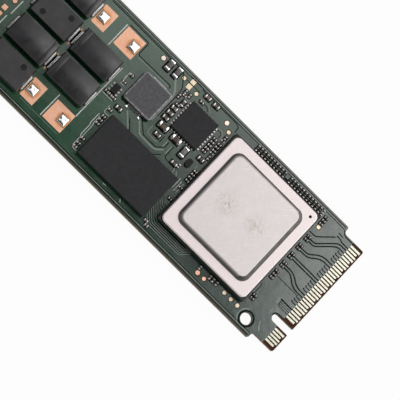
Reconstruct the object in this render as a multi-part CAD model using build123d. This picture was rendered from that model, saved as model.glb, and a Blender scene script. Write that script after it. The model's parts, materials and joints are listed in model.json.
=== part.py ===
from build123d import *
from math import atan2, degrees, floor
import os

# Solid-state drive card: a long narrow circuit board with a keyed edge connector.
# Millimetres. +X runs along the board to the connector tip, +Y across it, +Z up from the component side.
# The origin is the middle of the board's underside.

# Circuit board
board_length = 110.0
board_width = 22.0
board_thickness = 0.8
board_corner_radius = 0.3
foil_thickness = 0.035
mask_clearance = 0.12

# Edge connector tongue, key slot and gold contacts
tongue_length = 4.0
tongue_inset = 1.075
tongue_corner_radius = 0.3
shoulder_radius = 0.5
tip_bevel = 0.12
key_width = 1.2
key_depth = 3.5
key_offset = 6.125
key_keepout = 1.0
contact_pitch = 0.5
contact_width = 0.35
contact_edge_margin = 0.675
contact_tip_gap = 0.25
contact_short_setback = 0.2
mask_setback = 2.0

# Mounting notch and tooling hole
notch_radius = 1.75
notch_pad_radius = 2.75
tooling_hole_diameter = 1.8
tooling_hole_setback = 6.0
tooling_hole_edge_distance = 1.8

# Controller: substrate on solder balls, die, thermal paste and metal lid
controller_size = 17.0
controller_setback = 8.17
controller_y = 0.40
controller_ball_height = 0.35
controller_ball_diameter = 0.5
controller_ball_pitch = 1.0
controller_substrate_thickness = 0.75
die_clearance = 0.975
die_thickness = 0.45
lid_margin = 0.2
lid_corner_radius = 0.9
lid_edge_chamfer = 0.12
lid_flange_thickness = 0.4
lid_flange_width = 1.425
lid_step_foot_radius = 1.45
lid_shoulder_height = 0.4
lid_shoulder_run = 0.375
lid_crown_height = 0.1
lid_crown_run = 0.35
lid_roof_thickness = 0.35
lid_cavity_wall = 0.675
vent_diameter = 0.45
vent_inset = 1.03
vent_sides = 12

# Memory packages on solder balls
package_ball_height = 0.25
package_ball_diameter = 0.42
package_substrate_thickness = 0.2
package_edge_chamfer = 0.06
package_ball_inset = 0.5
ball_sides = 4
dram_length = 13.0
dram_width = 7.5
dram_mold_thickness = 0.55
dram_ball_pitch = 0.8
dram_gap = 1.58
dram_edge_distance = 1.58
flash_length = 14.0
flash_width = 18.0
flash_mold_thickness = 0.7
flash_ball_pitch = 1.0
flash_gap = 3.0
flash_setback = 5.6

# Power chip without legs: leads under four sides and a thermal pad
power_size = 5.0
power_mold_thickness = 0.65
power_gap = 2.6
power_edge_distance = 3.1
power_lead_pitch = 0.5
power_lead_count = 9
power_lead_width = 0.24
power_lead_thickness = 0.2
power_lead_reach = 0.16
power_lead_inset = 0.35
power_pad_size = 3.4

# Moulded inductor
inductor_size = 5.2
inductor_height = 1.2
inductor_corner_radius = 0.4
inductor_chamfer = 0.2
inductor_gap = 2.68
inductor_edge_distance = 4.85
inductor_strip_width = 2.4
inductor_strip_thickness = 0.15
inductor_strip_rise = 0.55
inductor_strip_reach = 0.3

# Moulded tantalum capacitors, in columns along the board and rows across it
tantalum_length = 7.3
tantalum_width = 4.3
tantalum_height = 1.45
tantalum_top_length = 6.5
tantalum_top_width = 4.0
tantalum_parting = 0.75
tantalum_bevel_length = 0.75
tantalum_bevel_drop = 0.4
tantalum_end_gap = 0.68
tantalum_side_gap = 0.65
tantalum_gap = 2.97
strip_width = 2.4
strip_thickness = 0.12
strip_foot = 1.3
fillet_reach = 0.25
fillet_rise = 0.45
ejector_diameter = 0.95
ejector_depth = 0.05
ejector_along = 1.8
ejector_across = 1.1
ejector_sides = 12

# Bare copper lands of the two empty capacitor places, with solder left on them
land_span = 7.85
land_width = 3.35
land_inner_length = 2.35
land_outer_length = 3.45
land_solder_size = 1.5
land_solder_height = 0.22
land_solder_slope = 45.0
land_solder_edge = 0.17

# Load switch with flat leads, and a small rounded chip
switch_length = 1.0
switch_width = 1.5
switch_height = 0.55
switch_lead_pitch = 0.55
switch_lead_count = 3
switch_lead_width = 0.25
switch_lead_thickness = 0.15
switch_lead_reach = 0.32
round_chip_length = 0.9
round_chip_width = 1.3
round_chip_height = 0.5
round_chip_corner = 0.25

# Chip capacitors and resistors: ceramic body and two end caps
chip_skin = 0.02
large_chip_length = 1.6
large_chip_width = 0.8
large_chip_height = 0.8
large_chip_cap = 0.35
medium_chip_length = 1.0
medium_chip_width = 0.5
medium_chip_height = 0.5
medium_chip_cap = 0.24
medium_chip_gap = 0.45
small_chip_length = 0.6
small_chip_width = 0.3
small_chip_height = 0.3
small_chip_cap = 0.16
small_chip_gap = 0.3
small_chip_end_gap = 0.12
lane_pitch = 1.75
row_inset = 3.67
row_break = 10

# Test pads
copper_pad_diameter = 0.72
plated_pad_diameter = 0.62
square_pad_size = 0.76
pad_sides = 8

# Heights shared by everything on the board
board_top = board_thickness
laminate_top = board_thickness - foil_thickness
half_width = board_width / 2

# Places along the board, each chained to its neighbour from the connector tip inwards
tip_x = board_length / 2
tail_x = -board_length / 2
shoulder_x = tip_x - tongue_length
tongue_width = board_width - 2 * tongue_inset
mask_end_x = tip_x - mask_setback
controller_x = tip_x - controller_setback - controller_size / 2
controller_right = controller_x + controller_size / 2
controller_left = controller_x - controller_size / 2
controller_top = controller_y + controller_size / 2
controller_bottom = controller_y - controller_size / 2
lid_size = controller_size - 2 * lid_margin
lid_step_foot = lid_size - 2 * lid_flange_width
lid_plateau_size = lid_step_foot - 2 * lid_shoulder_run - 2 * lid_crown_run
lid_height = lid_flange_thickness + lid_shoulder_height + lid_crown_height
lid_cavity_size = lid_plateau_size - 2 * lid_cavity_wall
lid_cavity_height = lid_height - lid_roof_thickness
die_size = lid_cavity_size - 2 * die_clearance
dram_x = controller_left - dram_gap - dram_length / 2
dram_y = -half_width + dram_edge_distance + dram_width / 2
dram_left = dram_x - dram_length / 2
dram_right = dram_x + dram_length / 2
dram_top = dram_y + dram_width / 2
power_x = controller_left - power_gap - power_size / 2
power_y = half_width - power_edge_distance - power_size / 2
power_left = power_x - power_size / 2
power_right = power_x + power_size / 2
power_top = power_y + power_size / 2
power_bottom = power_y - power_size / 2
inductor_x = power_left - inductor_gap - inductor_size / 2
inductor_y = half_width - inductor_edge_distance - inductor_size / 2
inductor_left = inductor_x - inductor_size / 2
tantalum_column_pitch = tantalum_length + tantalum_end_gap
tantalum_row_pitch = tantalum_width + tantalum_side_gap
near_column_x = min(inductor_left, dram_left) - tantalum_gap - tantalum_length / 2
far_column_x = near_column_x - tantalum_column_pitch
far_column_left = far_column_x - tantalum_length / 2
row_ys = [tantalum_row_pitch * step for step in (1.5, 0.5, -0.5, -1.5)]
flash_xs = [far_column_left - flash_setback - flash_length / 2]
flash_xs.append(flash_xs[0] - flash_length - flash_gap)

nodes = {}


def block(x, y, z, length, width, height):
    """A box that stands at height z over the point x, y."""
    return Pos(x, y, z + height / 2) * Box(length, width, height)


def plate(sketch, z, thickness):
    """A flat sketch made into a plate that stands at height z."""
    return extrude(Pos(0, 0, z) * sketch, amount=thickness)


def profile_across(points, x, y, width):
    """A side profile of x, z points, swept across the board by a width centred on y."""
    face = make_face(Polyline(*[(x + px, pz) for px, pz in points], close=True))
    return extrude(Plane.XZ.offset(-y - width / 2) * face, amount=width)


def centred_steps(count, pitch):
    """Evenly spaced places about zero."""
    return [(step - (count - 1) / 2) * pitch for step in range(count)]


# Circuit board

def board_outline():
    """The board seen from above: long rectangle, connector tongue, key slot and mounting notch."""
    main = Pos((tail_x + shoulder_x) / 2, 0) * Rectangle(shoulder_x - tail_x, board_width)
    main = fillet(main.vertices(), board_corner_radius)
    tongue = Pos(shoulder_x, 0) * Rectangle(2 * tongue_length, tongue_width)
    tongue = fillet(tongue.vertices().filter_by(lambda v: v.X > shoulder_x), tongue_corner_radius)
    outline = main + tongue
    inner = outline.vertices().filter_by(lambda v: abs(v.X - shoulder_x) < shoulder_radius / 10)
    inner = inner.filter_by(lambda v: abs(abs(v.Y) - tongue_width / 2) < shoulder_radius / 10)
    outline = fillet(inner, shoulder_radius)
    slot_end_x = tip_x - key_depth + key_width / 2
    slot = Pos(slot_end_x, -key_offset) * Circle(key_width / 2)
    slot += Pos(slot_end_x + key_depth / 2, -key_offset) * Rectangle(key_depth, key_width)
    notch = Pos(tail_x, 0) * Circle(notch_radius)
    hole = Pos(tip_x - tooling_hole_setback, tooling_hole_edge_distance - half_width)
    return outline - slot - notch - hole * Circle(tooling_hole_diameter / 2)


def notch_pad():
    """Half ring of plating round the mounting notch."""
    ring = Circle(notch_pad_radius) - Circle(notch_radius)
    half = Pos(notch_pad_radius / 2, 0) * Rectangle(notch_pad_radius, 2 * notch_pad_radius)
    return Pos(tail_x, 0) * (ring & half)


def contact_rows(offset):
    """Contact places across the tongue, left out where the key slot is."""
    count = floor((tongue_width - 2 * contact_edge_margin - 2 * offset) / contact_pitch) + 1
    places = [(step, -y) for step, y in enumerate(centred_steps(count, contact_pitch))]
    return [(step, y) for step, y in places if abs(y + key_offset) > key_keepout]


def contacts(z, offset):
    """One row of gold contacts; every third one stops short of the tip."""
    row = []
    for step, y in contact_rows(offset):
        setback = contact_short_setback if step % 3 == 1 else 0
        end_x = tip_x - contact_tip_gap - setback
        length = end_x - mask_end_x
        row.append(block(end_x - length / 2, y, z, length, contact_width, foil_thickness))
    return row


def pad_places():
    """Round copper pads, round plated pads and square plated pads, each beside the piece it serves."""
    copper = [
        (inductor_x - 2.05, half_width - 1.6),
        (power_right + 0.62, half_width - 1.8),
        (controller_x + 1.12, controller_bottom - 1.3),
        (far_column_left - 1.9, 0),
    ]
    plated = [
        (inductor_x + 2.05, half_width - 1.55),
        (power_left - 0.43, half_width - 1.95),
        (power_right + 1.72, half_width - 2.6),
        (controller_right + 0.87, controller_top - 1.05),
        (controller_x + 2.37, controller_bottom - 1.3),
    ]
    plated += [(controller_x + 5.87 + step * 1.3, controller_bottom - 0.65) for step in range(3)]
    square = [
        (power_left - 1.88, half_width - 1.05),
        (power_left - 1.88, half_width - 1.95),
        (far_column_left - 2.3, -1.7),
        (far_column_left - 2.3, -2.9),
    ]
    return copper, plated, square


def land_places():
    """Middle x, y and length of each bare land of the empty capacitor places."""
    first_x = near_column_x - land_span / 2
    last_x = near_column_x + land_span / 2
    lands = []
    for y in (row_ys[0], row_ys[-1]):
        lands.append((first_x + land_inner_length / 2, y, land_inner_length))
        lands.append((last_x - land_outer_length / 2, y, land_outer_length))
    return lands


def build_board():
    outline = board_outline()
    laminate = plate(outline, 0, laminate_top)
    laminate -= block(tip_x, 0, 0, 2 * mask_setback, board_width, foil_thickness)
    for edge_z, inward in ((foil_thickness, tip_bevel), (laminate_top, -tip_bevel)):
        wedge = [(-tip_bevel, edge_z), (0, edge_z), (0, edge_z + inward)]
        laminate -= profile_across(wedge, tip_x, 0, board_width)
    laminate -= plate(notch_pad(), 0, foil_thickness)
    nodes["circuit_board"] = [laminate]

    copper, plated, square = pad_places()
    round_pads = [(Pos(x, y), copper_pad_diameter) for x, y in copper]
    gold_pads = [(Pos(x, y), plated_pad_diameter) for x, y in plated]
    square_pads = [Pos(x, y) for x, y in square]
    lands = [Pos(x, y) * Rectangle(length, land_width) for x, y, length in land_places()]

    mask_length = mask_end_x - tail_x
    mask = outline & (Pos(tail_x + mask_length / 2, 0) * Rectangle(mask_length, board_width))
    mask -= notch_pad()
    for place, diameter in round_pads + gold_pads:
        mask -= place * RegularPolygon(diameter / 2 + mask_clearance, pad_sides)
    square_opening = square_pad_size + mask_clearance
    for place in square_pads:
        mask -= place * Rectangle(square_opening, square_opening)
    for land in lands:
        mask -= land
    nodes["solder_mask_top"] = [plate(mask, laminate_top, foil_thickness)]

    nodes["edge_contacts_top"] = contacts(laminate_top, 0)
    nodes["edge_contacts_bottom"] = contacts(0, contact_pitch / 2)
    nodes["mounting_notch_pads"] = [plate(notch_pad(), z, foil_thickness) for z in (0, laminate_top)]
    nodes["capacitor_lands"] = [plate(land, laminate_top, foil_thickness) for land in lands]
    nodes["copper_test_pads"] = [
        plate(place * RegularPolygon(diameter / 2, pad_sides), laminate_top, foil_thickness)
        for place, diameter in round_pads
    ]
    nodes["plated_test_pads"] = [
        plate(place * RegularPolygon(diameter / 2, pad_sides), laminate_top, foil_thickness)
        for place, diameter in gold_pads
    ]
    nodes["plated_test_pads"] += [
        plate(place * Rectangle(square_pad_size, square_pad_size), laminate_top, foil_thickness)
        for place in square_pads
    ]


# Packages on solder balls

def ball_columns(length, width, pitch, inset):
    """The outermost balls of a grid along the two sides that run across the board."""
    along = centred_steps(floor((length - 2 * inset) / pitch) + 1, pitch)
    across = centred_steps(floor((width - 2 * inset) / pitch) + 1, pitch)
    return [(bx, by) for bx in (along[0], along[-1]) for by in across]


def ball_ring(length, width, pitch, inset):
    """The outermost balls of a grid along all four sides."""
    turned = [(bx, by) for by, bx in ball_columns(width, length, pitch, inset)]
    return sorted(set(ball_columns(length, width, pitch, inset) + turned))


def solder_balls(x, y, places, diameter, height):
    """Solder balls, each a short column with few sides."""
    ball = RegularPolygon(diameter / 2, ball_sides)
    return [plate(Pos(x + bx, y + by) * ball, board_top, height) for bx, by in places]


def memory_package(name, x, y, length, width, mold_thickness, ball_places):
    """A moulded memory chip: balls, thin substrate and black mould."""
    balls = solder_balls(x, y, ball_places, package_ball_diameter, package_ball_height)
    nodes[name + "_solder_balls"] = balls
    substrate_z = board_top + package_ball_height
    nodes[name + "_substrate"] = [block(x, y, substrate_z, length, width, package_substrate_thickness)]
    mold_z = substrate_z + package_substrate_thickness
    mold = block(x, y, mold_z, length, width, mold_thickness)
    nodes[name + "_mold"] = [chamfer(mold.faces().sort_by(Axis.Z)[-1].edges(), package_edge_chamfer)]


def controller_lid(z):
    """Stamped lid: a flat flange, a steep shoulder and a crowned plateau over a hollow."""
    flange = plate(RectangleRounded(lid_size, lid_size, lid_corner_radius), z, lid_flange_thickness)
    flange = chamfer(flange.faces().sort_by(Axis.Z)[-1].edges(), lid_edge_chamfer)
    step_z = z + lid_flange_thickness
    foot = RectangleRounded(lid_step_foot, lid_step_foot, lid_step_foot_radius)
    shoulder_slope = degrees(atan2(lid_shoulder_run, lid_shoulder_height))
    shoulder = extrude(Pos(0, 0, step_z) * foot, amount=lid_shoulder_height, taper=shoulder_slope)
    crown_slope = degrees(atan2(lid_crown_run, lid_crown_height))
    crown_foot = shoulder.faces().sort_by(Axis.Z)[-1]
    crown = extrude(crown_foot, amount=lid_crown_height, taper=crown_slope)
    vent = lid_size / 2 - vent_inset
    lid = flange + shoulder + crown
    lid -= block(0, 0, z, lid_cavity_size, lid_cavity_size, lid_cavity_height)
    lid -= plate(Pos(vent, vent) * RegularPolygon(vent_diameter / 2, vent_sides), z, lid_flange_thickness)
    return Pos(controller_x, controller_y) * lid


def build_controller():
    x = controller_x
    y = controller_y
    places = ball_ring(controller_size, controller_size, controller_ball_pitch, controller_ball_pitch)
    balls = solder_balls(x, y, places, controller_ball_diameter, controller_ball_height)
    nodes["controller_solder_balls"] = balls
    substrate_z = board_top + controller_ball_height
    nodes["controller_substrate"] = [
        block(x, y, substrate_z, controller_size, controller_size, controller_substrate_thickness)
    ]
    die_z = substrate_z + controller_substrate_thickness
    nodes["controller_die"] = [block(x, y, die_z, die_size, die_size, die_thickness)]
    paste_z = die_z + die_thickness
    nodes["controller_thermal_paste"] = [
        block(x, y, paste_z, die_size, die_size, lid_cavity_height - die_thickness)
    ]
    nodes["controller_lid"] = [controller_lid(die_z)]


def build_memory():
    turned = ball_columns(dram_width, dram_length, dram_ball_pitch, package_ball_inset)
    balls = [(bx, by) for by, bx in turned]
    memory_package("dram", dram_x, dram_y, dram_length, dram_width, dram_mold_thickness, balls)
    balls = ball_columns(flash_length, flash_width, flash_ball_pitch, package_ball_inset)
    for number, x in enumerate(flash_xs, 1):
        memory_package(f"flash_{number}", x, 0, flash_length, flash_width, flash_mold_thickness, balls)


# Power parts

def build_power_chip():
    body_z = board_top + power_lead_thickness
    body = block(power_x, power_y, body_z, power_size, power_size, power_mold_thickness)
    nodes["power_chip_mold"] = [chamfer(body.faces().sort_by(Axis.Z)[-1].edges(), package_edge_chamfer)]
    nodes["power_chip_thermal_pad"] = [
        block(power_x, power_y, board_top, power_pad_size, power_pad_size, power_lead_thickness)
    ]
    lead_length = power_lead_inset + power_lead_reach
    lead_middle = power_size / 2 + power_lead_reach - lead_length / 2
    leads = []
    for offset in centred_steps(power_lead_count, power_lead_pitch):
        for side in (-1, 1):
            leads.append(block(power_x + side * lead_middle, power_y + offset, board_top,
                               lead_length, power_lead_width, power_lead_thickness))
            leads.append(block(power_x + offset, power_y + side * lead_middle, board_top,
                               power_lead_width, lead_length, power_lead_thickness))
    nodes["power_chip_leads"] = leads


def build_inductor():
    body_z = board_top + inductor_strip_thickness
    body_height = inductor_height - inductor_strip_thickness
    body = block(inductor_x, inductor_y, body_z, inductor_size, inductor_size, body_height)
    body = fillet(body.edges().filter_by(Axis.Z), inductor_corner_radius)
    body = chamfer(body.faces().sort_by(Axis.Z)[-1].edges(), inductor_chamfer)
    nodes["inductor_body"] = [body]
    half = inductor_size / 2
    strips = []
    for side in (-1, 1):
        foot_length = inductor_strip_reach + half / 2
        foot_y = inductor_y + side * (half + inductor_strip_reach - foot_length / 2)
        wall_y = inductor_y + side * (half + inductor_strip_thickness / 2)
        foot_size = (inductor_strip_width, foot_length, inductor_strip_thickness)
        wall_size = (inductor_strip_width, inductor_strip_thickness, inductor_strip_rise)
        foot = block(inductor_x, foot_y, board_top, *foot_size)
        wall = block(inductor_x, wall_y, board_top, *wall_size)
        strips.append(foot + wall)
    nodes["inductor_terminals"] = strips


def tantalum_body(x, y, bevel_side, ejector_marks):
    """Moulded case that tapers up and down from its parting line, bevelled at one end."""
    mid_length = tantalum_length - 2 * strip_thickness
    base_z = board_top + strip_thickness
    parting_z = board_top + tantalum_parting
    top_z = board_top + tantalum_height
    small = Rectangle(tantalum_top_length, tantalum_top_width)
    wide = Rectangle(mid_length, tantalum_width)
    body = loft([Pos(0, 0, base_z) * small, Pos(0, 0, parting_z) * wide])
    body += loft([Pos(0, 0, parting_z) * wide, Pos(0, 0, top_z) * small])
    if bevel_side:
        end = bevel_side * tantalum_length / 2
        start = bevel_side * (tantalum_top_length / 2 - tantalum_bevel_length)
        wedge = [(start, top_z), (end, top_z), (end, top_z - tantalum_bevel_drop)]
        body -= profile_across(wedge, 0, 0, board_width)
    if ejector_marks:
        for side in (-1, 1):
            mark = Pos(side * ejector_along, side * ejector_across)
            mark *= RegularPolygon(ejector_diameter / 2, ejector_sides)
            body -= plate(mark, top_z - ejector_depth, ejector_depth)
    return Pos(x, y) * body


def tantalum_terminals(x, y):
    """Metal strips that leave the case at its parting line and fold under both ends."""
    strips = []
    for side in (-1, 1):
        outer = side * tantalum_length / 2
        inner = side * (tantalum_length / 2 - strip_thickness)
        foot = side * (tantalum_length / 2 - strip_foot)
        under_z = board_top + strip_thickness
        parting_z = board_top + tantalum_parting
        strip = [
            (outer, board_top),
            (outer, parting_z),
            (inner, parting_z),
            (inner, under_z),
            (foot, under_z),
            (foot, board_top),
        ]
        strips.append(profile_across(strip, x, y, strip_width))
    return strips


def tantalum_fillets(x, y):
    """Solder that climbs both end strips."""
    wedges = []
    for side in (-1, 1):
        outer = side * tantalum_length / 2
        toe = outer + side * fillet_reach
        wedge = [(outer, board_top), (outer, board_top + fillet_rise), (toe, board_top)]
        wedges.append(profile_across(wedge, x, y, strip_width))
    return wedges


def build_tantalum_capacitors():
    """Four capacitors in the far column, two in the middle rows of the near one."""
    places = [
        (far_column_x, row_ys[0], 1, False),
        (far_column_x, row_ys[1], 0, True),
        (far_column_x, row_ys[2], 1, False),
        (far_column_x, row_ys[3], 0, True),
        (near_column_x, row_ys[1], -1, False),
        (near_column_x, row_ys[2], -1, False),
    ]
    fillets = []
    for number, (x, y, bevel_side, ejector_marks) in enumerate(places, 1):
        nodes[f"tantalum_{number}_body"] = [tantalum_body(x, y, bevel_side, ejector_marks)]
        nodes[f"tantalum_{number}_terminals"] = tantalum_terminals(x, y)
        fillets += tantalum_fillets(x, y)
    nodes["tantalum_solder_fillets"] = fillets


def build_land_solder():
    """Low pillows of solder on the bare lands, at the ends where a capacitor would sit."""
    pillows = []
    for x, y, length in land_places():
        side = -1 if x < near_column_x else 1
        middle = x + side * (length / 2 - land_solder_edge - land_solder_size / 2)
        pillow = Rectangle(land_solder_size, land_solder_size)
        foot = Pos(middle, y, board_top) * pillow
        pillows.append(extrude(foot, land_solder_height, taper=land_solder_slope))
    nodes["land_solder"] = pillows


def build_small_chips():
    switch_x = inductor_left - 1.35
    switch_y = inductor_y - 2.45
    body_z = board_top + switch_lead_thickness
    body_height = switch_height - switch_lead_thickness
    body = block(switch_x, switch_y, body_z, switch_length, switch_width, body_height)
    nodes["load_switch_body"] = [body]
    lead_length = switch_lead_reach + switch_length / 4
    lead_middle = switch_length / 2 + switch_lead_reach - lead_length / 2
    nodes["load_switch_leads"] = [
        block(switch_x + side * lead_middle, switch_y + offset, board_top,
              lead_length, switch_lead_width, switch_lead_thickness)
        for side in (-1, 1) for offset in centred_steps(switch_lead_count, switch_lead_pitch)
    ]
    chip = block(power_right + 0.57, power_bottom - 1.93, board_top,
                 round_chip_length, round_chip_width, round_chip_height)
    nodes["round_chip"] = [chamfer(chip.edges().filter_by(Axis.Z), round_chip_corner)]


# Chip capacitors and resistors

def chip_parts(x, y, size, turned):
    """Ceramic body and its two end caps, along the board or turned across it."""
    length, width, height, cap = size
    body = block(0, 0, chip_skin, length - 2 * cap, width - 2 * chip_skin, height - 2 * chip_skin)
    end = (length - cap) / 2
    caps = [block(side * end, 0, 0, cap, width, height) for side in (-1, 1)]
    place = Pos(x, y, board_top) * Rot(0, 0, 90 if turned else 0)
    return place * body, [place * end_cap for end_cap in caps]


def build_chips(name, size, places):
    """A group of like chips: one node of bodies and one of end caps."""
    bodies = []
    caps = []
    for x, y, turned in places:
        body, ends = chip_parts(x, y, size, turned)
        bodies.append(body)
        caps += ends
    nodes[name + "_bodies"] = bodies
    nodes[name + "_end_caps"] = caps


def build_large_chips():
    large_chip = (large_chip_length, large_chip_width, large_chip_height, large_chip_cap)
    build_chips("power_capacitor", large_chip, [
        (inductor_x - 0.75, half_width - 1.85, True),
        (inductor_x + 0.8, half_width - 1.85, True),
        (power_left - 0.68, power_bottom - 0.8, False),
        (power_left + 1.92, power_bottom - 0.85, False),
        (power_left + 3.97, power_bottom - 1.4, True),
    ])


def build_medium_chips():
    medium_pitch = medium_chip_width + medium_chip_gap
    places = [(power_left - 1.31, power_y - 0.2 - step * medium_pitch, False) for step in range(3)]
    places += [
        (power_left - 0.88, power_y + 1.17, True),
        (power_left - 0.48, power_bottom - 2.2, False),
        (power_right + 1.42, power_bottom - 0.3, False),
        (power_left + 4.07, power_bottom - 3.5, False),
        (power_left + 1.12, power_top + 1.9, False),
        (power_left + 2.82, power_top + 1.85, False),
        (inductor_left + 0.85, dram_top + 1.37, False),
    ]
    flash_between_x = (flash_xs[0] + flash_xs[1]) / 2
    places += [(flash_between_x, y, False) for y in centred_steps(4, 3.6)]
    medium_chip = (medium_chip_length, medium_chip_width, medium_chip_height, medium_chip_cap)
    build_chips("medium_chip", medium_chip, places)


def build_small_chip_rows():
    small_chip = (small_chip_length, small_chip_width, small_chip_height, small_chip_cap)
    side_pitch = small_chip_width + small_chip_gap
    end_pitch = small_chip_length + small_chip_end_gap
    places = [
        (power_left - 2.03, power_y + 1.6, True),
        (power_left - 1.73, power_y + 2.7, True),
        (power_left - 0.93, power_y + 2.7, True),
        (power_left - 1.33, power_y + 0.5, False),
        (power_left + 0.97, power_top + 0.8, False),
        (power_right + 1.97, power_y + 2.0, True),
        (power_right + 2.1, power_y - 1.8, True),
        (dram_right + 0.75, -half_width + 1.7, False),
        (dram_right + 1.25, -half_width + 1.2, False),
        (inductor_left - 1.05, inductor_y + 0.65, False),
        (inductor_left - 1.15, inductor_y - 0.8, False),
    ]
    places += [(power_right + 0.95, power_y + 0.8 - step * side_pitch, False) for step in range(5)]
    places += [(power_right + 1.97, power_y + 0.7 - step * side_pitch, False) for step in range(3)]
    places += [(controller_left - 0.47, controller_y + 0.4 - step * side_pitch, False) for step in range(4)]
    places += [(controller_left - 0.47, controller_y + dy, False) for dy in (-2.8, -5.0)]
    places += [(dram_left - 0.75, dram_y + dy, False) for dy in (4.1, 2.77, 2.1, 1.43, -1.63, -2.53, -3.2)]
    places += [(inductor_left - 2.05 + step * end_pitch, inductor_y - 3.5, False) for step in range(3)]
    places += [(controller_x + dx, controller_bottom - 0.55, True) for dx in (0.87, 2.87, 3.47, 4.17)]
    build_chips("small_chip", small_chip, places)

    row_y = controller_top + 1.02
    last_x = controller_right - small_chip_width
    first_x = controller_left + row_inset
    row_count = floor((last_x - first_x) / side_pitch) + 1
    row = [(first_x + step * side_pitch, row_y, True) for step in range(row_count) if step != row_break]
    build_chips("controller_row_chip", small_chip, row)

    lane_x = controller_right + 0.77
    lanes = []
    for lane in range(4):
        pair_y = controller_y + 5.12 - lane * lane_pitch
        lanes += [(lane_x, pair_y + side_pitch / 2, False), (lane_x, pair_y - side_pitch / 2, False)]
    for first_y, count in ((controller_top + 0.7, 3), (controller_y - 1.5, 3), (controller_y - 6.3, 2)):
        lanes += [(lane_x, first_y - step * side_pitch, False) for step in range(count)]
    build_chips("lane_capacitor", small_chip, lanes)


def export_nodes():
    os.makedirs("parts", exist_ok=True)
    for name, solids in nodes.items():
        shape = solids[0] if len(solids) == 1 else Compound(children=solids)
        export_step(shape, f"parts/{name}.step")


build_board()
build_controller()
build_memory()
build_power_chip()
build_inductor()
build_tantalum_capacitors()
build_land_solder()
build_small_chips()
build_large_chips()
build_medium_chips()
build_small_chip_rows()
export_nodes()
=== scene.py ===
import json
import math

import bmesh
import bpy
from mathutils import Matrix, Vector


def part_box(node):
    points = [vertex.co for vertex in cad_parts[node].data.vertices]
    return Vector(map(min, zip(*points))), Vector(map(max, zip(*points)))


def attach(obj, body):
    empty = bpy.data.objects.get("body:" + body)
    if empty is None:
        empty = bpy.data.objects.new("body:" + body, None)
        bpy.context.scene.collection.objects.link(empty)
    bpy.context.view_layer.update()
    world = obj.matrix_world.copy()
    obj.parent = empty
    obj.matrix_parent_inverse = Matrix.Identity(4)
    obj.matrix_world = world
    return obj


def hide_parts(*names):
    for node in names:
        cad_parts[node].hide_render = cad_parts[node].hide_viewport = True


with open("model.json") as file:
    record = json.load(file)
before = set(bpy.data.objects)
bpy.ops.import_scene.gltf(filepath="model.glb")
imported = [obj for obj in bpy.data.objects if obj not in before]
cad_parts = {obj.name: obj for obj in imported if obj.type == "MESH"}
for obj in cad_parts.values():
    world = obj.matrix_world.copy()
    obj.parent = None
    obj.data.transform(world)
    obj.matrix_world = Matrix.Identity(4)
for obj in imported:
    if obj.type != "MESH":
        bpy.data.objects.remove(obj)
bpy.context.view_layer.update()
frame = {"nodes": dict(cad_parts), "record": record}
nodes = frame["nodes"]

# Lengths are in millimetres unless a comment says metres.
MM = 0.001
MASK_TOP = 0.8
MASK_END_X = 53.0
INK_HEIGHT = 0.012
RIDGE_HEIGHT = 0.02
# How far thin pieces reach down into what they lie on.
SINK = 0.01
# The flat share of a ribbon's half width.
RIBBON_CROWN = 0.36
# Steps in an arc and in a rounded corner, and the share of a leg that a corner may use.
ARC_STEPS = 24
CORNER_STEPS = 6
CORNER_SHARE = 0.45

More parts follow.
